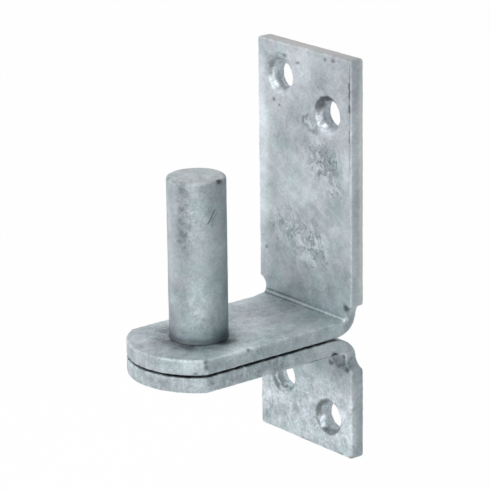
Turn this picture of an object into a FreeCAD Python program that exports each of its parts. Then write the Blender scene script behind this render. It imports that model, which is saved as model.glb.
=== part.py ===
import FreeCAD, Part
import math
import os

# Gate hinge pin on a screw-on plate: an upright round pin carried by two folded straps,
# which lie tongue against tongue and screw flat to a post above and below the pin.
# Millimetres. The origin is on the pin's axis at the top face of the tongue,
# +Z runs up the pin, +Y points to the post and +X is to the right of someone facing it.

# Strap that both plates are folded from
strap_width = 39.0
strap_thickness = 4.5
tongue_width = 33.0
nose_radius = 19.5
bend_inner_radius = 1.0
bend_outer_radius = 7.4
shoulder_height = 4.3
corner_round = 0.8
edge_break = 0.25

# Where the two plates stand
pin_to_post = 41.5
upper_leg = 73.0
lower_leg = 30.2
seam_gap = 0.4

# Countersunk screw holes, two in each leg
screw_hole_diameter = 7.0
countersink_diameter = 10.5
countersink_angle = 90.0
hole_side_margin = 9.75
hole_end_margin = 9.75
hole_stagger = 7.0

# Pin, and the spigot that fixes it through both tongues
pin_diameter = 16.0
pin_height = 44.7
pin_chamfer = 0.5
spigot_diameter = 12.0
tail_diameter = 16.0
tail_height = 1.6

# Sizes that follow from the ones above
half_strap = strap_width / 2
half_tongue = tongue_width / 2
shoulder_step = half_strap - half_tongue
leg_front = pin_to_post - strap_thickness
nose_corner_y = -math.sqrt(nose_radius ** 2 - half_tongue ** 2)
tongue_stack = 2 * strap_thickness + seam_gap

# Cutting tools run this far past what they cut, and edges are found to this accuracy
overrun = 5.0
tolerance = 0.001

AXIS_X = FreeCAD.Vector(1, 0, 0)
AXIS_Y = FreeCAD.Vector(0, 1, 0)
AXIS_Z = FreeCAD.Vector(0, 0, 1)
ORIGIN = FreeCAD.Vector(0, 0, 0)


def arc(start, middle, end):
    return Part.Arc(start, middle, end).toShape()


def line(start, end):
    return Part.makeLine(start, end)


def side_point(y, z):
    return FreeCAD.Vector(-half_strap, y, z)


def front_point(x, z):
    return FreeCAD.Vector(x, -nose_radius - overrun, z)


def round_corner(centre_y, centre_z, radius):
    """Start, middle and end of the quarter circle on the bend's lower, post side."""
    diagonal = radius * math.sqrt(0.5)
    return (side_point(centre_y, centre_z - radius),
            side_point(centre_y + diagonal, centre_z - diagonal),
            side_point(centre_y + radius, centre_z))


def bent_strap(leg):
    """The strap at full width, folded once: square inside, drawn round and thinner outside."""
    outer = round_corner(pin_to_post - bend_outer_radius, bend_outer_radius - strap_thickness,
                         bend_outer_radius)
    inner = round_corner(leg_front - bend_inner_radius, bend_inner_radius, bend_inner_radius)
    nose_bottom = side_point(-nose_radius, -strap_thickness)
    nose_top = side_point(-nose_radius, 0)
    leg_top_back = side_point(pin_to_post, leg)
    leg_top_front = side_point(leg_front, leg)
    section = Part.Wire([
        line(nose_bottom, outer[0]),
        arc(*outer),
        line(outer[2], leg_top_back),
        line(leg_top_back, leg_top_front),
        line(leg_top_front, inner[2]),
        arc(*inner),
        line(inner[0], nose_top),
        line(nose_top, nose_bottom),
    ])
    return Part.Face(section).extrude(AXIS_X * strap_width)


def side_relief():
    """What is cut from the strap's right side: it narrows to the tongue in a hollow shoulder."""
    diagonal = shoulder_step * math.sqrt(0.5)
    arc_top = front_point(half_strap, shoulder_height)
    arc_middle = front_point(half_strap - diagonal, shoulder_height - shoulder_step + diagonal)
    arc_bottom = front_point(half_tongue, shoulder_height - shoulder_step)
    tongue_bottom = front_point(half_tongue, -strap_thickness - overrun)
    outside_bottom = front_point(half_strap + overrun, -strap_thickness - overrun)
    outside_top = front_point(half_strap + overrun, shoulder_height)
    section = Part.Wire([
        arc(arc_top, arc_middle, arc_bottom),
        line(arc_bottom, tongue_bottom),
        line(tongue_bottom, outside_bottom),
        line(outside_bottom, outside_top),
        line(outside_top, arc_top),
    ])
    depth = nose_radius + pin_to_post + 2 * overrun
    return Part.Face(section).extrude(AXIS_Y * depth)


def nose_relief():
    """What is cut from the tongue's end, leaving an arc about the pin's axis."""
    low = -strap_thickness - overrun
    height = strap_thickness + 2 * overrun
    block_width = strap_width + 2 * overrun
    block_length = nose_radius + overrun
    corner = FreeCAD.Vector(-block_width / 2, -block_length, low)
    block = Part.makeBox(block_width, block_length, height, corner)
    return block.cut(Part.makeCylinder(nose_radius, height, FreeCAD.Vector(0, 0, low)))


def screw_hole(x, z):
    """Clearance hole through the leg with a countersink at the front."""
    hole_radius = screw_hole_diameter / 2
    sink_radius = countersink_diameter / 2
    slope = math.tan(math.radians(countersink_angle / 2))
    sink_depth = (sink_radius - hole_radius) / slope
    start = FreeCAD.Vector(x, leg_front - overrun, z)
    bore = Part.makeCylinder(hole_radius, strap_thickness + 2 * overrun, start, AXIS_Y)
    sink = Part.makeCone(sink_radius + overrun * slope, hole_radius, overrun + sink_depth,
                         start, AXIS_Y)
    return bore.fuse(sink)


def edges_across(shape, direction, places):
    """Straight edges along one axis that pass through the given places seen down that axis."""
    found = []
    for edge in shape.Edges:
        start = edge.Vertexes[0].Point
        end = edge.Vertexes[-1].Point
        along = end - start
        if along.Length < tolerance or along.cross(direction).Length > tolerance:
            continue
        for place in places:
            if (start - place).cross(direction).Length < tolerance:
                found.append(edge)
    return found


def blank_corners(shape, leg):
    """Corners of the flat blank that are rounded: the leg's end and the shoulders."""
    places = []
    for side in (-1, 1):
        places.append(FreeCAD.Vector(side * half_strap, 0, leg))
        places.append(FreeCAD.Vector(side * half_strap, 0, shoulder_height))
    return edges_across(shape, AXIS_Y, places)


def lies_on_broad_face(point):
    """Whether a point is on the front, back or bend surface of the strap, not on its rim."""
    flats = (abs(point.y - leg_front), abs(point.y - pin_to_post),
             abs(point.z), abs(point.z + strap_thickness))
    outer_gap = math.hypot(point.y - pin_to_post + bend_outer_radius,
                           point.z - bend_outer_radius + strap_thickness) - bend_outer_radius
    inner_gap = math.hypot(point.y - leg_front + bend_inner_radius,
                           point.z - bend_inner_radius) - bend_inner_radius
    return min(flats + (abs(outer_gap), abs(inner_gap))) < tolerance


def rim_edges(shape, leg):
    """Edges that run round the strap's outline on both of its broad faces."""
    found = []
    for edge in shape.Edges:
        middle = edge.valueAt((edge.FirstParameter + edge.LastParameter) / 2)
        on_side = abs(middle.x) > half_tongue - corner_round
        on_end = middle.z > leg - corner_round
        on_nose = middle.y < nose_corner_y
        if lies_on_broad_face(middle) and (on_side or on_end or on_nose):
            found.append(edge)
    return found


def folded_plate(leg):
    """One strap with its leg up: folded, shouldered, its edges broken, and drilled."""
    plate = bent_strap(leg)
    right_relief = side_relief()
    plate = plate.cut([right_relief, right_relief.mirror(ORIGIN, AXIS_X), nose_relief()])
    plate = plate.makeFillet(corner_round, blank_corners(plate, leg))
    plate = plate.makeChamfer(edge_break, rim_edges(plate, leg))
    hole_x = half_strap - hole_side_margin
    outer_z = leg - hole_end_margin
    holes = [
        screw_hole(-hole_x, outer_z),
        screw_hole(hole_x, outer_z - hole_stagger),
        Part.makeCylinder(spigot_diameter / 2, strap_thickness + 2 * overrun,
                          FreeCAD.Vector(0, 0, -strap_thickness - overrun)),
    ]
    return plate.cut(holes)


def upper_plate():
    return folded_plate(upper_leg)


def lower_plate():
    """The same strap turned upside down about the pin-to-post line, under the first tongue."""
    plate = folded_plate(lower_leg)
    plate.rotate(ORIGIN, AXIS_Y, 180)
    plate.translate(AXIS_Z * -tongue_stack)
    return plate


def hinge_pin():
    """Turned in one piece: chamfered bar, shoulder on the tongue, spigot and peened tail."""
    pin_radius = pin_diameter / 2
    spigot_radius = spigot_diameter / 2
    tail_radius = tail_diameter / 2
    dome_radius = (tail_radius ** 2 + tail_height ** 2) / (2 * tail_height)
    dome_centre_z = -tongue_stack - tail_height + dome_radius
    dome_middle_x = tail_radius / 2
    dome_middle_z = dome_centre_z - math.sqrt(dome_radius ** 2 - dome_middle_x ** 2)

    def point(radius, z):
        return FreeCAD.Vector(radius, 0, z)

    top_centre = point(0, pin_height)
    chamfer_top = point(pin_radius - pin_chamfer, pin_height)
    chamfer_side = point(pin_radius, pin_height - pin_chamfer)
    foot = point(pin_radius, 0)
    spigot_top = point(spigot_radius, 0)
    spigot_end = point(spigot_radius, -tongue_stack)
    tail_edge = point(tail_radius, -tongue_stack)
    tail_middle = point(dome_middle_x, dome_middle_z)
    tail_centre = point(0, -tongue_stack - tail_height)
    section = Part.Wire([
        line(top_centre, chamfer_top),
        line(chamfer_top, chamfer_side),
        line(chamfer_side, foot),
        line(foot, spigot_top),
        line(spigot_top, spigot_end),
        line(spigot_end, tail_edge),
        arc(tail_edge, tail_middle, tail_centre),
        line(tail_centre, top_centre),
    ])
    return Part.Face(section).revolve(ORIGIN, AXIS_Z, 360)


os.makedirs("parts", exist_ok=True)
upper_plate().exportStep("parts/upper_plate.step")
lower_plate().exportStep("parts/lower_plate.step")
hinge_pin().exportStep("parts/hinge_pin.step")
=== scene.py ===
import math

import bmesh
import bpy
from mathutils import Matrix, Vector, noise


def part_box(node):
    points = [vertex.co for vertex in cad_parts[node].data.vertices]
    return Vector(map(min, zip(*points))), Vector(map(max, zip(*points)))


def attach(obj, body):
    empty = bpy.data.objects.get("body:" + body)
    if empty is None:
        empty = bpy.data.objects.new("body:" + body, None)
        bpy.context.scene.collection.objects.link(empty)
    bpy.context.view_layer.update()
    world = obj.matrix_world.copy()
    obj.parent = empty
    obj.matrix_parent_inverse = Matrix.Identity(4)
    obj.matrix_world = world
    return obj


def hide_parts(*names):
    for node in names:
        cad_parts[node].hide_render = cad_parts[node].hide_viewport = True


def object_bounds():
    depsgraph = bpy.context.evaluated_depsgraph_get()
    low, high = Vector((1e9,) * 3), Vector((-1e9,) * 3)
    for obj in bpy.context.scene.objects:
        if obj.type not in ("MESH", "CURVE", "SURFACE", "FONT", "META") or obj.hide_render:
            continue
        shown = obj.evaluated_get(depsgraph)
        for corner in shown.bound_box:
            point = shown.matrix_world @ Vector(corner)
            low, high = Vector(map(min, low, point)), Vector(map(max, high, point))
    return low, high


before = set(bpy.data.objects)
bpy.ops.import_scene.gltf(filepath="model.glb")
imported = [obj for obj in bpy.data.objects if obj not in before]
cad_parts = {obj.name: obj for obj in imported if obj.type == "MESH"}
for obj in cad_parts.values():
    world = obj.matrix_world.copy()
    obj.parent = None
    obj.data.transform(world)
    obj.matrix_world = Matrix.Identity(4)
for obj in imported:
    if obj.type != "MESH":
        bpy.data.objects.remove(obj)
cad_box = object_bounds()

# Upper plate
# A strap of mild steel, sheared, drilled and countersunk, then folded cold to an L with a sharp
# inside crease. Its long leg screws to the post and its tongue lies under the pin. It was dipped in
# molten zinc, which left a mottled, slightly wavy skin over every face and edge.
MM = 0.001
PLATE_CELL = 0.36 * MM
STRAP_THICKNESS = 4.5 * MM
TONGUE_HALF = 16.5 * MM
upper_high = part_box("upper_plate")[1]
leg_front = upper_high.y - STRAP_THICKNESS
LEG_FACE = round(leg_front / MM, 3)
BACK_FACE = round(upper_high.y / MM, 3)


def even_blank(node, cell, soften):
    """A node's own solid in small even faces, which the next steps can bend, dent and coat."""
    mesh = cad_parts[node].data.copy()
    shell = bmesh.new()
    shell.from_mesh(mesh)
    bmesh.ops.remove_doubles(shell, verts=shell.verts, dist=0.001 * MM)
    shell.to_mesh(mesh)
    blank = bpy.data.objects.new(node + "_blank", mesh)
    bpy.context.scene.collection.objects.link(blank)
    rebuild = blank.modifiers.new("even_faces", "REMESH")
    rebuild.mode = "VOXEL"
    rebuild.voxel_size = cell
    rebuilt = blank.evaluated_get(bpy.context.evaluated_depsgraph_get())
    even_mesh = bpy.data.meshes.new_from_object(rebuilt)
    shell.clear()
    shell.from_mesh(even_mesh)
    bpy.data.objects.remove(blank)
    bpy.data.meshes.remove(even_mesh)
    bpy.data.meshes.remove(mesh)
    for _ in range(soften):
        bmesh.ops.smooth_vert(shell, verts=shell.verts, factor=0.5,
                              use_axis_x=True, use_axis_y=True, use_axis_z=True)
    shell.normal_update()
    return shell


def ease(share):
    """0 below 0, 1 above 1 and a smooth rise between."""
    share = min(max(share, 0.0), 1.0)
    return share * share * (3 - 2 * share)


def bulge_fold(shell, fold_z, reach, amount):
    """Squeezes the strap out sideways at both ends of its inside crease, as a cold fold does."""
    for vert in shell.verts:
        near = ease(1 - math.hypot(vert.co.y - leg_front, vert.co.z - fold_z) / reach)
        outer = ease(2 * abs(vert.co.x) / TONGUE_HALF - 1)
        vert.co.x += math.copysign(amount * near * outer, vert.co.x)
    shell.normal_update()


def lump_holes(shell, holes, radius, deepest, height, length):
    """Uneven zinc that stayed in the countersinks, down to a given depth."""
    for vert in shell.verts:
        for x, _, z in holes:
            inside = ease(4 * (1 - math.hypot(vert.co.x - x * MM, vert.co.z - z * MM) / radius))
            inside *= ease((deepest - vert.co.y) / MM)
            if inside > 0:
                vert.co += vert.normal * height * inside * noise.noise(vert.co / length)
    shell.normal_update()


def folded_blank(node, fold_z, holes, lump_height):
    """A plate's blank with the marks that its fold and the zinc in its screw holes leave."""
    shell = even_blank(node, PLATE_CELL, soften=1)
    bulge_fold(shell, fold_z, reach=6.0 * MM, amount=1.0 * MM)
    lump_holes(shell, holes, radius=5.6 * MM, deepest=40.0 * MM, height=lump_height, length=1.6 * MM)
    return shell


def press_lines(shell, lines, half_width, left, right, reach):
    """Grooves across the strap at (y, z) in millimetres, from one depth on the left to one on the right."""
    for vert in shell.verts:
        for y, z in lines:
            away = math.hypot(vert.co.y - y * MM, vert.co.z - z * MM) / half_width
            if away < 1:
                depth = left + (right - left) * ease(vert.co.x / reach + 0.5)
                vert.co -= vert.normal * depth * ease(1 - away)
    shell.normal_update()


def dent(shell, dents):
    """Round hollows by centre, radius and depth in millimetres. A depth below zero makes a lump."""
    placed = [(Vector(centre) * MM, radius * MM, depth * MM) for centre, radius, depth in dents]
    for vert in shell.verts:
        for centre, radius, depth in placed:
            away = (vert.co - centre).length / radius
            if away < 1:
                vert.co -= vert.normal * depth * ease(1 - away)
    shell.normal_update()


def dip_in_zinc(shell, name, cell, swell=0.10 * MM, swell_length=6.0 * MM,
                ripple=0.03 * MM, ripple_length=1.6 * MM, wear=0.12 * MM):
    """The finished piece: rims marked and worn, and the skin sunk in soft waves of two lengths."""
    rim_gain = 10
    rim_spread = 2
    shell.verts.index_update()
    around = [[edge.other_vert(vert).index for edge in vert.link_edges] for vert in shell.verts]
    places = [vert.co.copy() for vert in shell.verts]
    rims = []
    for vert in shell.verts:
        ring = around[vert.index]
        middle = sum((places[i] for i in ring), Vector()) / len(ring)
        rims.append((vert.co - middle).dot(vert.normal) / cell * rim_gain)
    for _ in range(rim_spread):
        rims = [(rims[k] + sum(rims[i] for i in ring) / len(ring)) / 2 for k, ring in enumerate(around)]
    layer = shell.verts.layers.float.new("rim")
    for vert in shell.verts:
        rim = rims[vert.index]
        vert[layer] = rim
        broad = noise.fractal(vert.co / swell_length, 1.0, 2.0, 3)
        fine = noise.noise(vert.co / ripple_length)
        worn = noise.fractal(vert.co / ripple_length, 1.0, 2.0, 2) + 0.2
        worn = wear * min(max(rim, 0.0), 1.0) * worn
        vert.co += vert.normal * (swell * (broad - 1) / 2 + ripple * (fine - 1) / 2 - max(worn, 0.0))
    mesh = bpy.data.meshes.new(name)
    shell.to_mesh(mesh)
    shell.free()
    mesh.polygons.foreach_set("use_smooth", [True] * len(mesh.polygons))
    piece = bpy.data.objects.new(name, mesh)
    bpy.context.scene.collection.objects.link(piece)
    return piece


class Shade:
    """One socket of a material. Sums and products of shades add the nodes that work them out."""

    def __init__(self, tree, socket=None):
        self.tree = tree
        self.socket = socket

    def node(self, kind, inputs, output=0, **settings):
        made = self.tree.nodes.new(kind)
        for setting, value in settings.items():
            setattr(made, setting, value)
        for name, value in inputs.items():
            self.feed(made.inputs[name], value)
        return Shade(self.tree, made.outputs[output])

    def feed(self, socket, value):
        if isinstance(value, Shade):
            self.tree.links.new(value.socket, socket)
        else:
            socket.default_value = value

    def math(self, operation, first, second):
        return self.node("ShaderNodeMath", {0: first, 1: second}, operation=operation)

    def __add__(self, other):
        return self.math("ADD", self, other)

    __radd__ = __add__

    def __sub__(self, other):
        return self.math("SUBTRACT", self, other)

    def __rsub__(self, other):
        return self.math("SUBTRACT", other, self)

    def __mul__(self, other):
        return self.math("MULTIPLY", self, other)

    __rmul__ = __mul__

    def __abs__(self):
        return self.math("ABSOLUTE", self, 0.0)

    def largest(self, other):
        return self.math("MAXIMUM", self, other)

    def ramp(self, zero_at, one_at):
        """0 at one value, 1 at the other, with a smooth change between."""
        return self.node("ShaderNodeMapRange", {0: self, 1: zero_at, 2: one_at},
                         interpolation_type="SMOOTHSTEP")

    def tint(self, first, second, **settings):
        """The first colour where this shade is 0 and the second where it is 1."""
        return self.node("ShaderNodeMix", {0: self, 6: first, 7: second}, output=2, data_type="RGBA",
                         **settings)

    def vector(self, operation, other, output=0):
        return self.node("ShaderNodeVectorMath", {0: self, 1: other}, output=output, operation=operation)

    def length(self):
        return self.node("ShaderNodeVectorMath", {0: self}, output="Value", operation="LENGTH")

    def cloud(self, length, detail=4.0, roughness=0.55, distortion=0.0):
        """Noise about 0.5 whose blotches are about this many millimetres long."""
        return self.node("ShaderNodeTexNoise", {
            "Vector": self, "Scale": 1 / length, "Detail": detail, "Roughness": roughness,
            "Distortion": distortion})

    def oval(self, centre, size):
        """1 in the middle of an oval of this half size each way, falling to 0 at its border."""
        return self.vector("SUBTRACT", centre).vector("DIVIDE", size).length().ramp(1.0, 0.2)

    def arc(self, centre, radius, width, toward):
        """1 along the side of a ring round an axis along Y that faces the given way, 0 elsewhere."""
        out = self.vector("SUBTRACT", centre)
        depth = abs(out.vector("DOT_PRODUCT", (0.0, 1.0, 0.0), output="Value"))
        out = out.vector("MULTIPLY", (1.0, 0.0, 1.0))
        ring = abs(out.length() - radius).ramp(width / 2, width / 6)
        faced = out.vector("DOT_PRODUCT", toward, output="Value")
        return ring * faced.ramp(0.3 * radius, 0.8 * radius) * depth.ramp(3.5, 2.5)

    def scratch(self, start, end, width):
        """1 along the line between two places, falling to 0 at half the width on each side."""
        along = Vector(end) - Vector(start)
        out = self.vector("SUBTRACT", start)
        share = out.vector("DOT_PRODUCT", along / along.length_squared, output="Value")
        share = share.node("ShaderNodeClamp", {0: share})
        nearest = share.node("ShaderNodeVectorMath", {0: tuple(along), "Scale": share}, operation="SCALE")
        return out.vector("SUBTRACT", nearest).length().ramp(width / 2, width / 6)


def strongest(shades):
    """The largest of several shades at each place."""
    result = shades[0]
    for shade in shades[1:]:
        result = result.largest(shade)
    return result


def colour(red, green, blue):
    return (red, green, blue, 1.0)


ZINC_LIGHT_VIOLET = colour(0.690, 0.757, 0.815)
ZINC_LIGHT_GREEN = colour(0.645, 0.770, 0.800)
ZINC_DARK_VIOLET = colour(0.165, 0.200, 0.232)
ZINC_DARK_GREEN = colour(0.132, 0.206, 0.223)
WARM_ZINC_AND_LIGHT = colour(0.620, 0.605, 0.590)
# Near black, for dirt and for painted shade in the seam, the crease lines, the countersinks and round the
# pin's foot
GRIME_AND_SHADE = colour(0.020, 0.023, 0.025)
PALEST_TONE = 1.35
METALLIC = 0.35
CUT_METALLIC = 0.9
RELIEF_DEPTH = 0.15 * MM


class ZincSkin:
    """Hot-dip zinc on one piece: its tone from dark, 0, to light, 1, its dirt and painted shade, and its
    fine relief.
    """

    def __init__(self, name, tone, mottling):
        self.material = bpy.data.materials.new(name)
        self.material.use_nodes = True
        start = Shade(self.material.node_tree)
        metres = start.node("ShaderNodeTexCoord", {}, output="Object")
        place = metres.vector("MULTIPLY", (1 / MM, 1 / MM, 1 / MM))
        tear = start.node("ShaderNodeTexNoise", {"Vector": place, "Scale": 1 / 1.8, "Detail": 3.0},
                          output="Color").vector("SUBTRACT", (0.5, 0.5, 0.5))
        self.place = place
        self.tear = tear
        self.rim = start.node("ShaderNodeAttribute", {}, output="Fac", attribute_name="rim")
        self.clouds = place.cloud(11.0)
        self.mottle = place.cloud(3.0, detail=5.0, roughness=0.6, distortion=0.6)
        self.flecks = place.cloud(1.1, detail=3.0, distortion=1.2)
        self.grain = place.cloud(0.42, detail=2.0)
        self.curds = place.cloud(3.4, detail=2.5, distortion=1.2)
        self.tone = tone + mottling * ((self.clouds - 0.5) * 0.9 + (self.mottle - 0.5) * 0.7
                                       + (self.flecks - 0.5) * 0.45 + (self.grain - 0.5) * 0.40)
        self.relief = self.grain * 0.5 + self.flecks * 0.5 + self.mottle * 0.5
        self.hue = place.cloud(6.5, detail=3.0).ramp(0.30, 0.80)
        self.warm_zinc_and_light_share = None
        self.shine = None
        self.dirt_and_shade = None

    def zones(self, places):
        """Broad soft ovals, each given as its centre and its half size each way."""
        return strongest([self.place.oval(centre, size) for centre, size in places])

    def frayed(self, width):
        """Places moved about by noise, so that what is drawn at them gets ragged borders."""
        return self.place.vector("ADD", self.tear.vector("MULTIPLY", (width, width, width)))

    def spots(self, places, fray=5.0):
        """Small ovals with ragged borders."""
        torn = self.frayed(fray)
        return strongest([torn.oval(centre, size) for centre, size in places])

    def bores(self, holes, radius, front):
        """The inside of holes along Y, from a given depth to the back of the plate."""
        depth = self.place.vector("DOT_PRODUCT", (0.0, 1.0, 0.0), output="Value")
        inside = []
        for x, _, z in holes:
            out = self.place.vector("SUBTRACT", (x, 0.0, z)).vector("MULTIPLY", (1.0, 0.0, 1.0)).length()
            inside.append(out.ramp(radius + 0.3, radius - 0.1))
        behind = depth.ramp(BACK_FACE - 0.2, BACK_FACE - 0.6)
        return strongest(inside) * depth.ramp(front, front + 0.4) * behind

    def lighten(self, found, strength):
        """A lighter tone, or a darker one where the strength is below zero."""
        self.tone = self.tone + found * strength

    def lighten_zones(self, table):
        for strength, places in table:
            self.lighten(self.zones(places), strength)

    def lighten_spots(self, fray, table):
        for strength, places in table:
            self.lighten(self.spots(places, fray), strength)

    def lean_green(self, table):
        """Zones of greener zinc, or of more violet zinc where the strength is below zero."""
        for strength, places in table:
            self.hue = self.hue + self.zones(places) * strength

    def veins(self, found, length, strength):
        """Thin dark curls, as grey alloy crystals show through the zinc."""
        curls = self.place.cloud(length, detail=1.5, roughness=0.4, distortion=1.1)
        lines = abs(curls - 0.5).ramp(0.12, 0.02)
        self.tone = self.tone - found * lines * self.clouds.ramp(0.36, 0.58) * strength

    def roughen(self, found, strength):
        """Sandy zinc: more contrast and more relief."""
        sand = (self.mottle - 0.5) * 0.9 + (self.flecks - 0.5) * 0.7 + (self.grain - 0.5) * 0.5
        self.tone = self.tone + found * sand * strength
        self.relief = self.relief + found * self.grain * strength * 0.5

    def curdle(self, found, strength):
        """Dull ground where the zinc has set in pale flakes with dark outlines."""
        flakes = self.curds.ramp(0.45, 0.60)
        outlines = abs(self.curds - 0.485).ramp(0.042, 0.008) * self.flecks.ramp(0.38, 0.58)
        self.tone = self.tone + found * strength * (flakes * 0.34 - outlines * 0.50 - 0.14)
        self.relief = self.relief + found * strength * (flakes * 0.5 - outlines * 0.5)

    def warm_zinc_and_light(self, found):
        """A warmer colour: faintly brown zinc, and painted warm light on tops and back edges."""
        self.warm_zinc_and_light_share = found

    def brighten_cut(self, found):
        """Smooth bright zinc on a drilled face."""
        self.shine = found * self.mottle.ramp(0.36, 0.5)

    def soil_and_shade(self, found):
        """Dirt and painted shade, as strong as the strongest of all that is found at a place."""
        self.dirt_and_shade = found if self.dirt_and_shade is None else self.dirt_and_shade.largest(found)

    def soil_and_shade_zones(self, table):
        for strength, places in table:
            self.soil_and_shade(self.zones(places) * strength)

    def soil_and_shade_spots(self, table):
        for strength, fray, places in table:
            self.soil_and_shade(self.spots(places, fray) * strength)

    def soil_and_shade_arcs(self, table):
        for strength, fray, centre, radius, width, toward in table:
            self.soil_and_shade(self.frayed(fray).arc(centre, radius, width, toward) * strength)

    def soil_and_shade_lines(self, table):
        for strength, fray, width, start, end in table:
            self.soil_and_shade(self.frayed(fray).scratch(start, end, width) * strength)

    def finish(self, roughness, bump=0.3):
        surface = self.material.node_tree.nodes["Principled BSDF"]
        # Convex rims are paler, partly rubbed zinc and partly a painted highlight where round edges catch
        # the light; concave places get painted shade.
        worn_and_lit_rims = self.rim.ramp(0.15, 0.9) * self.mottle.ramp(0.38, 0.58)
        hollow_shade = self.rim.ramp(-0.2, -1.0)
        tone = self.tone + worn_and_lit_rims * 0.20 - hollow_shade * 0.30
        tone = tone.node("ShaderNodeClamp", {"Value": tone, "Min": 0.0, "Max": PALEST_TONE})
        zinc = tone.tint(self.hue.tint(ZINC_DARK_VIOLET, ZINC_DARK_GREEN),
                         self.hue.tint(ZINC_LIGHT_VIOLET, ZINC_LIGHT_GREEN), clamp_factor=False)
        if self.warm_zinc_and_light_share is not None:
            zinc = self.warm_zinc_and_light_share.tint(zinc, WARM_ZINC_AND_LIGHT)
        dirt_and_shade = self.dirt_and_shade * self.flecks.ramp(0.10, 0.40)
        zinc = dirt_and_shade.tint(zinc, GRIME_AND_SHADE)
        rough = roughness + (self.mottle - 0.5) * 0.3 + worn_and_lit_rims * 0.2
        metallic = METALLIC
        if self.shine is not None:
            rough = rough - self.shine * 0.22
            metallic = METALLIC + self.shine * (CUT_METALLIC - METALLIC)
        bumped = tone.node("ShaderNodeBump", {
            "Strength": bump, "Distance": RELIEF_DEPTH, "Height": self.relief - dirt_and_shade}, output="Normal")
        tone.feed(surface.inputs["Metallic"], metallic)
        tone.feed(surface.inputs["Roughness"], rough)
        tone.feed(surface.inputs["Base Color"], zinc)
        tone.feed(surface.inputs["Normal"], bumped)
        return self.material


def on_leg(x, z, width, height, depth=4.0):
    """Centre and half size, in millimetres, of a mark on the front of a leg."""
    return (x, LEG_FACE, z), (width, depth, height)


def on_back(x, z, width, height, depth=3.0):
    """Centre and half size of a mark on the back of a leg."""
    return (x, BACK_FACE, z), (width, depth, height)


def on_tongue(x, y, width, length, depth=1.6):
    """Centre and half size of a mark on top of the upper tongue."""
    return (x, y, 0.0), (width, length, depth)


SINK = {"radius": 5.25, "front": LEG_FACE}
BORE = {"radius": 4.0, "front": 38.4}
# Painted shade in the seam between the two tongues, near black
SEAM_SHADE = ((0.0, 10.0, -4.68), (200.0, 200.0, 0.58))

left_hole = (-9.75, LEG_FACE, 63.25)
right_hole = (9.75, LEG_FACE, 56.25)
crease_lines = [(LEG_FACE, 1.10), (LEG_FACE - 0.45, 0.16)]
blank = folded_blank("upper_plate", 0.0, [left_hole, right_hole], lump_height=0.22 * MM)
press_lines(blank, crease_lines, half_width=0.45 * MM, left=0.16 * MM, right=0.06 * MM, reach=26.0 * MM)
dent(blank, [
    ((-12.9, LEG_FACE, 56.3), 0.8, 0.20),
    ((16.5, -10.3, -0.6), 1.1, 0.35),
    ((16.4, -10.4, -2.0), 0.7, 0.20),
    ((16.4, 3.8, -0.4), 1.0, 0.30),
])
upper_plate = dip_in_zinc(blank, "upper_plate_zinc", PLATE_CELL)

# Slanting streaks on the leg, a violet top, and greener zinc at the bend and on the tongue's side
skin = ZincSkin("upper_plate_zinc", tone=0.49, mottling=1.0)
streaks = skin.place.node("ShaderNodeMapping", {
    "Vector": skin.place, "Rotation": (0.0, math.radians(24.0), 0.0), "Scale": (6.0, 1.0, 1.0)},
    vector_type="TEXTURE").cloud(2.4)
skin.lighten((streaks - 0.5) * skin.zones([on_leg(0.0, 34.0, 40.0, 34.0)]), 0.45)
skin.lean_green([
    (-0.50, [on_leg(6.0, 60.0, 30.0, 24.0, depth=5.0)]),
    (-0.35, [on_leg(-18.5, 50.0, 7.0, 20.0)]),
    (0.25, [((8.0, 36.0, 4.0), (34.0, 14.0, 14.0))]),
    (0.40, [((18.0, 6.0, -2.0), (22.0, 50.0, 9.0))]),
])

# Painted light down the leg's left edge and along the back of its right side, a pale right edge,
# pale tongue and nose, painted shade along the crease and low in the right hole's bore, and a dull top edge
skin.lighten_zones([
    # Painted light: the leg's left edge and the back of its right side, here and in the rows below at x -19
    # and 19.5
    (0.38, [on_leg(-19.5, 38.0, 6.0, 50.0)]),
    (0.35, [((19.5, 41.2, 40.0), (1.2, 1.8, 60.0))]),
    (0.17, [
        on_leg(-19.0, 38.0, 8.0, 46.0),
        on_leg(-4.0, 34.0, 26.0, 8.0),
        on_leg(17.3, 36.0, 3.2, 24.0, depth=3.0),
        ((-9.75, 38.0, 63.25), (6.0, 1.4, 6.0)),
        ((19.5, 39.3, 58.0), (1.2, 5.0, 20.0)),
        on_tongue(16.5, 4.0, 5.0, 12.0),
        on_tongue(-16.0, 27.0, 5.0, 9.0),
        on_tongue(5.0, 15.0, 12.0, 12.0),
        ((11.0, -15.5, -2.5), (11.0, 7.0, 4.0)),
    ]),
    (0.16, [on_tongue(16.5, 12.0, 6.5, 26.0), on_tongue(2.0, 16.0, 16.0, 12.0)]),
    (0.16, [on_tongue(-9.0, -15.0, 11.0, 8.0), on_tongue(-17.0, 0.0, 6.0, 14.0)]),
    (0.13, [on_tongue(14.5, 1.0, 5.0, 8.0), ((15.0, -12.3, -2.5), (5.0, 5.0, 4.0))]),
    (0.13, [on_tongue(-14.0, 8.0, 8.0, 22.0), ((19.5, 41.0, 36.0), (1.2, 2.2, 60.0))]),
    (0.10, [((19.5, 39.3, 30.0), (1.2, 5.0, 60.0)), on_leg(0.0, 66.0, 36.0, 12.0, depth=3.0)]),
    (0.08, [on_leg(0.0, 36.0, 60.0, 30.0, depth=3.0), ((0.0, -19.0, -2.5), (9.0, 4.0, 4.0))]),
    (0.04, [on_tongue(14.0, 6.0, 7.0, 24.0), on_leg(0.0, 12.0, 40.0, 14.0, depth=3.0)]),
    # Painted shade along the crease: the foot of the leg and the back of the tongue
    (-0.13, [
        on_leg(0.0, 0.0, 60.0, 12.0, depth=3.0),
        on_leg(16.0, 6.0, 15.0, 12.0),
        on_tongue(6.0, 36.0, 26.0, 11.0),
    ]),
    # Painted shade low in the right hole's bore
    (-0.25, [((11.5, 40.0, 53.4), (2.6, 3.0, 1.8))]),
    (-0.32, [((0.0, 39.5, 73.0), (40.0, 4.0, 0.8))]),
])
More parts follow.
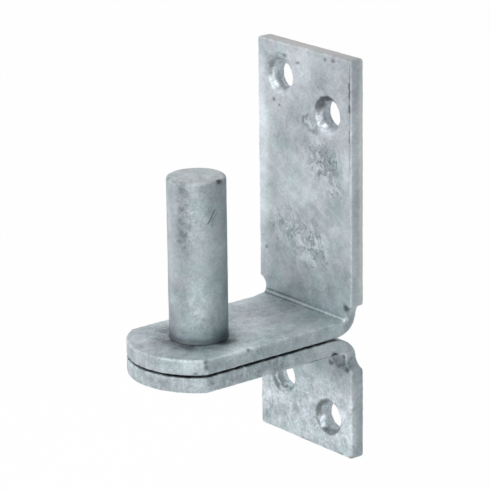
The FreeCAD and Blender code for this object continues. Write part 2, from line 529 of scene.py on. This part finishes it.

# Dull and pale blotches, a painted glint at the crease's end, and curdled zinc, which is faint behind
skin.lighten_spots(5.0, [
    (-0.10, [
        on_leg(-4.0, 6.0, 7.5, 4.4),
        on_leg(-14.5, 20.5, 3.6, 2.4),
        on_leg(-4.0, 25.5, 3.6, 2.0),
        on_leg(3.0, 60.0, 7.0, 9.0),
        on_leg(8.0, 43.0, 9.0, 7.5),
    ]),
    (0.15, [
        on_leg(-8.0, 21.5, 3.6, 1.8),
        on_leg(2.6, 23.0, 2.4, 2.0),
        on_leg(6.0, 19.0, 2.6, 1.8),
        on_leg(12.5, 36.0, 2.4, 2.4),
    ]),
    # Painted glint on the corner at the crease's end
    (0.50, [((16.8, 36.8, 0.5), (1.2, 1.2, 1.2))]),
])
skin.curdle(skin.spots([
    on_leg(8.0, 43.0, 12.0, 9.5),
    on_leg(-7.0, 21.5, 11.0, 7.0),
    on_leg(3.0, 18.0, 13.0, 11.0),
    on_leg(12.0, 36.0, 5.0, 4.5),
    on_leg(2.0, 52.3, 3.5, 3.5),
]), 0.9)
skin.curdle(skin.spots([on_back(-6.0, 47.0, 13.0, 14.0), on_back(9.0, 20.0, 10.0, 9.0)]), 0.4)
curdled_half = skin.zones([on_leg(0.0, 17.0, 30.0, 20.0), on_leg(8.0, 43.0, 16.0, 13.0)])
skin.lighten((skin.place.cloud(4.6, detail=3.0, distortion=1.0) - 0.5) * curdled_half, 0.6)
skin.veins(skin.zones([on_back(0.0, 38.0, 30.0, 50.0, depth=2.0)]), 3.2, 0.2)

# A sandy tongue with a dull ring round the pin, partly stain and partly painted shade, mottled sides,
# and painted highlights along its right edge, in the crease and on the nose rim
from_pin = skin.place.vector("ADD", (1.4, 1.0, 0.0)).vector("MULTIPLY", (1.0, 1.0, 0.0)).length()
tongue_top = skin.zones([on_tongue(0.0, 0.0, 40.0, 40.0, depth=1.2)])
# Partly a stain and partly painted shade round the pin's foot
skin.lighten(from_pin.ramp(15.0, 8.5) * tongue_top, -0.36)
skin.roughen(skin.zones([((0.0, 5.0, -2.0), (40.0, 40.0, 5.0))]), 0.6)
skin.roughen(skin.zones([on_tongue(-3.0, 20.0, 20.0, 20.0, depth=3.0)]), 0.3)
skin.lighten((skin.mottle - 0.5) * skin.zones([((16.6, 8.0, -2.2), (1.2, 32.0, 3.4))]), -0.6)
# Painted highlights: a pale line along the tongue's right edge and one in the crease's fillet
skin.lighten(skin.place.scratch((16.5, -9.0, -0.1), (16.6, 33.0, -0.1), 0.9), 0.26)
skin.lighten(skin.place.scratch((-1.0, 36.85, 0.5), (17.0, 36.85, 0.5), 0.5), 0.16)
# Painted highlight along the nose rim
nose_rim_highlight = skin.rim.ramp(0.2, 0.8) * skin.zones([on_tongue(6.0, -17.0, 20.0, 10.0, depth=1.4)])
skin.lighten(nose_rim_highlight * skin.flecks.ramp(0.40, 0.56), 0.14)
# Painted warm light on the side's back edge, the top edge and the tongue, and faintly brown zinc low on the
# leg
skin.warm_zinc_and_light(strongest([
    skin.zones([((19.5, 41.5, 36.0), (1.2, 2.4, 80.0)), ((0.0, 39.5, 73.0), (40.0, 4.0, 1.2))]) * 0.6,
    skin.zones([on_tongue(2.0, 22.0, 22.0, 16.0), on_leg(-5.0, 8.0, 10.0, 9.0, depth=3.0)]) * 0.15,
]))

# Countersinks: bright cuts on the right, duller and paler on the left
bore = skin.bores([left_hole, right_hole], **BORE)
left_sink = skin.bores([left_hole], **SINK)
right_sink = skin.bores([right_hole], **SINK)
skin.brighten_cut((left_sink * 0.25).largest(right_sink * 0.6) * (1.0 - bore))
skin.roughen(left_sink.largest(right_sink), 0.7)
skin.lighten(left_sink * bore, 0.28)
skin.lighten(left_sink * (1.0 - bore), 0.12)

# Dirt and painted shade round the holes, dirt in curls beside them, painted shade along the crease
# lines, dirt along the leg's edge, painted shade at the pin's foot and in the seam between the tongues,
# and dirt in pits
# The dark upper crescents in the countersinks are partly zinc dross and partly painted shade where the
# slope faces down
skin.soil_and_shade_arcs([
    (0.70, 1.2, right_hole, 4.5, 2.4, (-0.54, 0.0, 0.84)),
    (0.42, 1.6, left_hole, 5.0, 1.6, (-0.50, 0.0, 0.86)),
    (0.30, 0.0, left_hole, 3.6, 0.8, (-0.70, 0.0, -0.70)),
    (0.42, 2.6, (1.6, LEG_FACE, 52.4), 2.0, 1.6, (-0.60, 0.0, 0.80)),
    (0.38, 2.6, (3.6, LEG_FACE, 52.0), 1.8, 1.6, (0.70, 0.0, -0.70)),
])
smear = skin.frayed(4.0).arc(left_hole, 5.9, 2.2, (-0.30, 0.0, 0.95))
skin.soil_and_shade(smear * skin.flecks.ramp(0.42, 0.60) * 0.40)
# Painted shade along the two crease lines, darker on the left
for y, z in crease_lines:
    skin.soil_and_shade_lines([
        (0.06, 0.0, 0.7, (-17.0, y, z), (17.0, y, z)),
        (0.30, 0.5, 0.8, (-17.0, y, z), (-2.0, y, z)),
    ])
edge_line = skin.frayed(0.7).scratch((18.9, LEG_FACE, 72.0), (18.9, LEG_FACE, 42.0), 0.7)
skin.soil_and_shade(edge_line * skin.mottle.ramp(0.40, 0.56) * 0.4)
for high, low, width in ((66.7, 62.9, 1.0), (60.6, 59.0, 1.2), (53.5, 50.5, 0.6)):
    skin.soil_and_shade_lines([(0.75, 0.7, width, (18.7, LEG_FACE, high), (18.7, LEG_FACE, low))])
# Painted shade round the pin's foot, and a painted shadow of the pin on the tongue, darkest at its right
skin.soil_and_shade_zones([
    (0.45, [((0.0, 0.0, 0.3), (9.6, 9.6, 1.6))]),
    (0.80, [on_tongue(8.6, 2.4, 2.8, 4.8, depth=1.4)]),
    (0.60, [on_tongue(5.5, -7.8, 4.6, 2.8, depth=1.4)]),
    (0.30, [on_tongue(-2.0, -9.3, 5.5, 2.4, depth=1.4), on_tongue(-9.0, -3.0, 2.4, 4.5, depth=1.4)]),
])
skin.soil_and_shade_spots([
    (1.00, 0.7, [SEAM_SHADE]),
    (0.80, 0.8, [on_leg(17.3, 3.8, 1.7, 1.7, depth=1.7)]),
    (0.55, 1.4, [
        on_leg(-12.7, 56.3, 1.2, 0.9),
        on_leg(-10.3, 55.2, 0.8, 0.7),
        on_leg(-8.0, 69.5, 1.7, 0.7),
        on_leg(-2.4, 68.4, 1.4, 0.7),
        on_leg(9.0, 71.2, 0.8, 0.6),
        on_leg(12.3, 71.5, 1.3, 0.7),
        on_leg(-16.2, 13.3, 1.1, 0.9),
        ((16.5, -10.3, -0.6), (1.2, 1.2, 1.4)),
        ((16.4, -10.4, -2.2), (1.2, 1.2, 1.2)),
        ((14.7, -12.7, -3.8), (0.9, 0.9, 0.7)),
        ((16.4, 3.8, -0.6), (1.0, 1.1, 0.8)),
    ]),
])
upper_plate.data.materials.append(skin.finish(roughness=0.52))
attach(upper_plate, "root")
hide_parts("upper_plate")

# Lower plate
# A shorter strap of the same steel, folded the other way up, with its tongue under the first one.
# It was galvanised with the rest, and the zinc stayed rough and pitted inside its bend.
lower_fold_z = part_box("lower_plate")[1].z - STRAP_THICKNESS
left_hole = (-9.75, LEG_FACE, -22.85)
right_hole = (9.75, LEG_FACE, -29.85)
blank = folded_blank("lower_plate", lower_fold_z, [left_hole, right_hole], lump_height=0.24 * MM)
dent(blank, [
    ((16.7, 33.6, -9.1), 1.2, 0.45),
    ((16.9, 34.9, -8.9), 0.9, 0.35),
    ((16.3, 36.8, -10.2), 1.0, 0.35),
    ((11.5, LEG_FACE, -13.4), 0.9, 0.30),
    ((17.6, LEG_FACE, -13.8), 0.9, 0.30),
    ((-10.2, 38.4, -26.8), 2.8, -0.8),
])
lower_plate = dip_in_zinc(blank, "lower_plate_zinc", PLATE_CELL)

# A leg made paler with painted light where the tongue shades it, curdled with fine curls, and faint curls
# behind
skin = ZincSkin("lower_plate_zinc", tone=0.51, mottling=1.0)
leg = skin.zones([on_leg(0.0, -30.0, 60.0, 20.0, depth=3.0)])
# Painted light: the whole leg under the tongue made paler
skin.lighten(leg, 0.54)
skin.roughen(leg, 0.5)
skin.lighten(leg * (skin.place.cloud(4.5, detail=2.0) - 0.5), 0.7)
skin.lighten(leg * (skin.place.cloud(1.4, detail=1.0, distortion=1.4) - 0.5), 0.8)
skin.veins(leg, 3.2, 0.20)
skin.veins(leg, 1.9, 0.14)
skin.veins(skin.zones([on_back(0.0, -24.0, 30.0, 26.0, depth=2.0)]), 3.2, 0.2)
skin.curdle(leg * skin.clouds.ramp(0.55, 0.40), 0.5)
skin.curdle(skin.spots([on_back(5.0, -21.0, 12.0, 9.0)]), 0.4)
skin.hue = skin.hue - leg * (skin.mottle.ramp(0.42, 0.58) - 0.5) * 0.8
skin.lean_green([(0.35, [((0.0, 14.0, -7.0), (40.0, 60.0, 6.0))])])
skin.lighten_spots(5.0, [(-0.20, [
    on_leg(15.5, -15.5, 7.0, 7.0),
    on_leg(1.0, -26.0, 3.6, 2.2),
    on_leg(4.0, -23.0, 3.0, 1.6),
    on_leg(-13.0, -33.0, 5.5, 3.0),
    on_leg(-17.5, -36.0, 4.0, 4.0),
    on_leg(3.0, -33.5, 4.0, 2.0),
    on_leg(-4.0, -31.0, 3.4, 2.0),
])])

# A sandy, cloudy edge round the tongue
tongue_edge = skin.zones([((0.0, 5.0, -7.0), (40.0, 40.0, 5.0))])
skin.roughen(tongue_edge, 0.85)
skin.lighten((skin.place.cloud(4.2, detail=3.0) - 0.5) * tongue_edge, 0.8)
skin.lighten_zones([
    (0.22, [((15.0, -13.0, -7.0), (6.0, 6.0, 4.0)), ((-5.0, -19.0, -7.0), (7.0, 4.0, 4.0))]),
    (0.10, [((1.0, -19.4, -7.0), (5.0, 4.0, 4.0))]),
    (0.05, [((15.4, -12.0, -7.0), (3.0, 3.0, 4.0))]),
    (-0.12, [((6.4, -18.4, -7.0), (4.5, 4.0, 4.0))]),
])

# Countersinks: dull cuts with pale bores, the left one the paler, and pale marks on the right one
bore = skin.bores([left_hole, right_hole], **BORE)
sink = skin.bores([left_hole, right_hole], **SINK)
skin.brighten_cut(sink * (1.0 - bore) * 0.40)
skin.roughen(sink, 0.9)
skin.lighten(sink * (1.0 - bore), -0.08)
skin.lighten(bore, 0.30)
skin.lighten(skin.bores([left_hole], **BORE), 0.45)
skin.lighten_spots(1.5, [
    (0.30, [((6.6, 38.0, -28.4), (1.4, 2.0, 1.3)), ((7.2, 38.0, -31.2), (2.0, 2.0, 1.9))]),
])
skin.lighten(skin.frayed(0.8).scratch((9.6, 38.6, -33.0), (13.4, 38.6, -31.6), 1.0), 0.40)

# Dirt round the holes, with painted shade in the right one's upper crescent, dirt in the pits and rings at
# the bend, painted shade in the seam, and dirt along the lower edge
# The right hole's dark upper crescent is partly zinc dross and partly painted shade
skin.soil_and_shade_arcs([
    (0.60, 0.8, right_hole, 4.8, 2.0, (-0.75, 0.0, 0.66)),
    (0.50, 0.8, right_hole, 4.5, 1.8, (0.30, 0.0, -0.95)),
    (0.40, 0.8, right_hole, 5.2, 0.8, (-1.00, 0.0, 0.00)),
    (0.50, 0.6, left_hole, 4.8, 1.4, (-0.95, 0.0, -0.30)),
    (0.50, 0.0, left_hole, 3.55, 0.9, (-0.75, 0.0, -0.65)),
])
for toward in ((0.8, 0.0, 0.6), (-0.8, 0.0, -0.6), (0.5, 0.0, -0.8)):
    skin.soil_and_shade_arcs([(0.55, 2.0, (14.3, 36.6, -11.2), 2.1, 2.0, toward)])
skin.soil_and_shade_lines([(0.70, 0.5, 1.3, (16.5, 24.0, -9.4), (16.6, 33.0, -9.3))])
skin.soil_and_shade_spots([
    (1.00, 0.7, [SEAM_SHADE]),
    (1.00, 0.8, [((16.4, 33.4, -8.9), (2.0, 1.7, 1.4))]),
    (0.38, 2.0, [on_leg(14.0, -11.8, 4.6, 3.0, depth=2.4)]),
    (0.35, 5.0, [((16.5, -5.8, -6.9), (1.0, 1.0, 0.8)), ((16.5, -8.1, -7.4), (1.1, 1.1, 0.8))]),
    (0.65, 1.5, [
        on_leg(10.6, -13.4, 1.2, 1.2, depth=2.0),
        on_leg(17.6, -13.8, 1.5, 1.3, depth=3.0),
        ((19.2, 37.2, -39.2), (1.2, 1.2, 1.1)),
    ]),
    (0.45, 2.5, [((15.0, 37.2, -39.2), (1.8, 2.0, 0.9)), ((-1.0, 37.2, -39.4), (4.5, 2.0, 0.8))]),
])
lower_plate.data.materials.append(skin.finish(roughness=0.52))
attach(lower_plate, "root")
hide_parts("lower_plate")

# Hinge pin
# A round steel bar with a chamfered top, that the gate's eye drops over. Its shoulder sits on the
# upper tongue, and a spigot goes through both tongues and is peened over underneath.
PIN_CELL = 0.32 * MM
PIN_RADIUS = 8.0 * MM
HAMMER_BLOWS = 10


def pool_zinc(shell, height, amount):
    """A fillet of zinc that stayed in the corner at the pin's foot."""
    for vert in shell.verts:
        share = 1 - vert.co.z / height
        out = Vector((vert.co.x, vert.co.y, 0.0))
        if 0 <= share <= 1 and out.length > PIN_RADIUS / 2:
            vert.co += out.normalized() * amount * share * share
    shell.normal_update()


blank = even_blank("hinge_pin", PIN_CELL, soften=3)
pool_zinc(blank, height=1.2 * MM, amount=0.3 * MM)
dent(blank, [((7.75, 1.85, 44.2), 1.0, 0.4)])
peening = [((0.6, -0.4, -11.0), 2.4, 0.25)]
for blow in range(HAMMER_BLOWS):
    turn = math.radians(360.0 / HAMMER_BLOWS * blow + 9.0 * math.sin(5.0 * blow))
    out = 4.3 + 1.1 * math.sin(3.0 * blow)
    peening.append(((out * math.cos(turn), out * math.sin(turn), -10.3), 1.7, 0.40))
dent(blank, peening)
hinge_pin = dip_in_zinc(blank, "hinge_pin_zinc", PIN_CELL, swell=0.06 * MM, swell_length=5.0 * MM,
                        ripple=0.02 * MM, ripple_length=1.4 * MM, wear=0.10 * MM)

# Painted highlights down the middle of the front and on the left edge, sandy ends and fine curls,
# a violet column of marks dulled with painted shade, and painted shade at the foot
skin = ZincSkin("hinge_pin_zinc", tone=0.38, mottling=0.8)
# Violet zinc with a painted shade band between the left edge and the middle, as on a lit round bar
violet_shaded_column = skin.spots([((3.4, -7.25, 36.0), (2.8, 2.8, 15.0))], fray=3.0)
skin.lighten(violet_shaded_column, -0.15)
# Painted highlight down the middle of the front
skin.lighten_spots(3.0, [
    (0.20, [((5.9, -5.4, 36.5), (4.2, 4.2, 12.0)), ((6.2, -5.0, 12.0), (4.0, 4.0, 10.0))]),
])
skin.lighten_spots(3.2, [(-0.18, [
    ((3.1, -7.4, 30.5), (2.0, 2.0, 1.7)),
    ((2.1, -7.7, 28.4), (1.7, 1.7, 1.4)),
    ((3.4, -7.2, 26.9), (1.6, 1.6, 1.3)),
    ((4.4, -6.7, 25.8), (2.0, 2.0, 1.5)),
    ((5.5, -5.8, 39.5), (1.9, 1.9, 1.7)),
    ((3.8, -7.0, 37.8), (1.7, 1.7, 1.6)),
    ((3.2, -7.3, 34.4), (1.5, 1.5, 1.5)),
    ((5.0, -6.2, 33.0), (1.5, 1.5, 1.3)),
    ((2.8, -7.5, 42.9), (1.9, 1.9, 2.0)),
])])
# Painted highlights on the left edge and the middle of the front; painted shade low on the left and round
# the foot
skin.lighten_zones([
    (0.14, [((-1.5, -8.0, 22.0), (4.0, 3.0, 30.0))]),
    (0.11, [((6.6, -4.4, 14.0), (4.4, 4.4, 22.0))]),
    (0.10, [((7.5, -3.0, 22.0), (2.8, 2.8, 34.0))]),
    (0.10, [((0.8, -8.0, 40.0), (1.5, 1.5, 7.0)), ((-2.0, -7.8, 26.0), (2.4, 2.4, 22.0))]),
    (0.06, [((6.2, -5.0, 23.0), (3.0, 3.0, 34.0))]),
    (-0.07, [((-4.0, -7.0, 13.0), (4.0, 4.0, 16.0))]),
    (-0.10, [((-1.0, -8.0, 2.0), (5.0, 4.0, 9.0))]),
    (-0.22, [((-5.0, -6.2, 0.5), (4.5, 4.5, 6.0))]),
    (-0.30, [((0.0, 0.0, 0.0), (30.0, 30.0, 6.0))]),
])
skin.roughen(skin.zones([((6.0, -5.0, 34.0), (6.0, 6.0, 14.0)), ((6.0, -5.0, 9.0), (6.0, 6.0, 10.0))]), 0.3)
skin.veins(skin.zones([((6.2, -5.0, 14.0), (4.0, 4.0, 14.0))]), 2.2, 0.24)
skin.veins(skin.zones([((4.6, -6.5, 33.0), (4.5, 4.5, 13.0))]), 1.9, 0.18)
skin.hue = skin.hue + 0.15 - violet_shaded_column * 0.75
skin.lean_green([
    (0.35, [((6.2, -5.0, 12.0), (4.5, 4.5, 16.0))]),
    (0.30, [((8.0, 2.0, 12.0), (6.0, 8.0, 22.0))]),
    (-0.40, [
        ((0.0, -8.0, 3.0), (5.0, 4.0, 9.0)),
        ((-1.0, -8.0, 30.0), (4.0, 3.0, 24.0)),
        ((3.5, -7.2, 20.0), (5.0, 5.0, 10.0)),
    ]),
    (-0.50, [((-4.0, -7.0, 13.0), (4.0, 4.0, 16.0))]),
])
# Painted light: the top face lighter and warmer, as lit from above
pin_top = skin.zones([((0.0, 0.0, 44.7), (20.0, 20.0, 1.2))])
skin.lighten(pin_top, 0.16)
skin.roughen(pin_top, 0.5)
skin.warm_zinc_and_light(pin_top * 0.18)

# Painted shade round the foot, a dark patch on its right that is partly dirt and partly painted shadow,
# and dirt at the rim and in its chip, and in two scratches
# Painted shade: a dark line round the foot, and a dark patch at its right, partly dirt and partly painted
# shadow
skin.soil_and_shade_zones([
    (0.50, [((0.0, 0.0, 0.5), (60.0, 60.0, 1.8))]),
    (0.65, [((7.6, 3.2, 0.2), (4.6, 6.5, 4.2))]),
])
skin.soil_and_shade_spots([
    (0.80, 0.5, [((-5.4, -6.3, 0.6), (1.1, 1.1, 1.0))]),
    (1.00, 0.6, [((7.8, 1.85, 44.25), (1.7, 1.7, 1.0))]),
    (0.32, 1.2, [
        ((-3.2, -7.0, 44.4), (2.4, 1.4, 0.8)),
        ((0.4, -7.7, 44.4), (2.4, 1.2, 0.8)),
        ((3.4, -7.0, 44.4), (2.2, 1.4, 0.8)),
    ]),
])
skin.soil_and_shade_lines([
    (0.60, 0.0, 0.6, (7.67, -2.29, 33.5), (8.0, -0.15, 37.0)),
    (0.40, 0.0, 0.45, (7.87, -1.44, 33.9), (7.98, 0.51, 36.0)),
])
hinge_pin.data.materials.append(skin.finish(roughness=0.55))
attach(hinge_pin, "root")
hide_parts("hinge_pin")

# Studio floor and light
# A white paper floor under the part's lowest edge, a soft bright room round it, and soft boxes in
# front and above, as in a product photograph on white.
FLOOR_HALF = 4.0
FLOOR_GLOW = 0.38
FLOOR_WHITE = 0.985
WINDOW_LEVEL = 1.25
WHITE = colour(1.0, 1.0, 1.0)
LAMP_TINT = (1.0, 0.95, 0.93)


def rays_that_see(start):
    """1 for what the camera sees, straight or in a mirror or through glass, and 0 for lighting."""
    return strongest([start.node("ShaderNodeLightPath", {}, output=name)
                      for name in ("Is Camera Ray", "Is Glossy Ray", "Is Transmission Ray")])


def soft_lamp(name, toward, size, watts, distance=0.9):
    """A square soft box that shines on the part from the given direction."""
    data = bpy.data.lights.new(name, "AREA")
    data.size = size
    data.energy = watts
    data.color = LAMP_TINT
    lamp = bpy.data.objects.new(name, data)
    direction = Vector(toward).normalized()
    lamp.location = direction * distance
    lamp.rotation_mode = "QUATERNION"
    lamp.rotation_quaternion = direction.to_track_quat("Z", "Y")
    bpy.context.scene.collection.objects.link(lamp)


floor_shape = bmesh.new()
bmesh.ops.create_grid(floor_shape, x_segments=1, y_segments=1, size=FLOOR_HALF)
bmesh.ops.translate(floor_shape, verts=floor_shape.verts, vec=(0, 0, cad_box[0].z))
floor_mesh = bpy.data.meshes.new("floor")
floor_shape.to_mesh(floor_mesh)
floor_shape.free()
floor = bpy.data.objects.new("floor", floor_mesh)
bpy.context.scene.collection.objects.link(floor)

paper = bpy.data.materials.new("white_paper")
paper.use_nodes = True
paper_surface = paper.node_tree.nodes["Principled BSDF"]
paper_surface.inputs["Base Color"].default_value = colour(0.85, 0.85, 0.85)
paper_surface.inputs["Roughness"].default_value = 0.9
paper_start = Shade(paper.node_tree)
paper_plain = Shade(paper.node_tree, paper_surface.outputs[0])
paper_glow = paper_start.node("ShaderNodeEmission", {"Color": WHITE, "Strength": 1.0})
glow_share = FLOOR_GLOW + rays_that_see(paper_start) * (FLOOR_WHITE - FLOOR_GLOW)
paper_mix = paper_start.node("ShaderNodeMixShader", {0: glow_share, 1: paper_plain, 2: paper_glow})
paper_start.feed(paper.node_tree.nodes["Material Output"].inputs["Surface"], paper_mix)
floor_mesh.materials.append(paper)

world = bpy.data.worlds.new("white_studio")
bpy.context.scene.world = world
world.use_nodes = True
sky = world.node_tree.nodes["Background"]
sky_start = Shade(world.node_tree)
toward = sky_start.node("ShaderNodeTexCoord", {}, output="Generated")
window = toward.vector("DOT_PRODUCT", (-1.0, 0.0, 0.0), output="Value").largest(0.0)
seen = rays_that_see(sky_start)
sky_start.feed(sky.inputs["Strength"], seen + (1.0 - seen) * window * WINDOW_LEVEL)
sky_start.feed(sky.inputs["Color"], seen.tint(colour(*LAMP_TINT), WHITE))

soft_lamp("front_box", (0.1, -0.75, 0.65), size=0.45, watts=2.4)
soft_lamp("top_box", (-0.1, -0.1, 1.0), size=0.6, watts=1.9)
soft_lamp("low_front_box", (0.35, -0.93, 0.1), size=0.6, watts=3.6)

# Camera
# Placed where the photograph was taken from: to the right of the pin and a little above it, with a
# long lens and a slight tilt.
camera_azimuth = math.radians(51.196)
camera_elevation = math.radians(17.567)
camera_roll = math.radians(-0.754)
camera_distance = 783.36 * MM
camera_aim = Vector((-3.27, 18.82, 20.72)) * MM
camera_data = bpy.data.cameras.new("camera")
camera_data.lens = 213.25
camera_data.sensor_width = 36.0
camera_data.clip_start = 0.01
camera_data.clip_end = 50.0
back = Vector((math.sin(camera_azimuth) * math.cos(camera_elevation),
               -math.cos(camera_azimuth) * math.cos(camera_elevation), math.sin(camera_elevation)))
right = Vector((math.cos(camera_azimuth), math.sin(camera_azimuth), 0.0))
up = back.cross(right)
tilt = Matrix.Rotation(camera_roll, 3, "Z")
camera = bpy.data.objects.new("camera", camera_data)
camera.rotation_mode = "QUATERNION"
camera.rotation_quaternion = (Matrix((right, up, back)).transposed() @ tilt).to_quaternion()
camera.location = camera_aim + back * camera_distance
bpy.context.scene.collection.objects.link(camera)
bpy.context.scene.camera = camera

bpy.context.scene.view_settings.view_transform = "Standard"
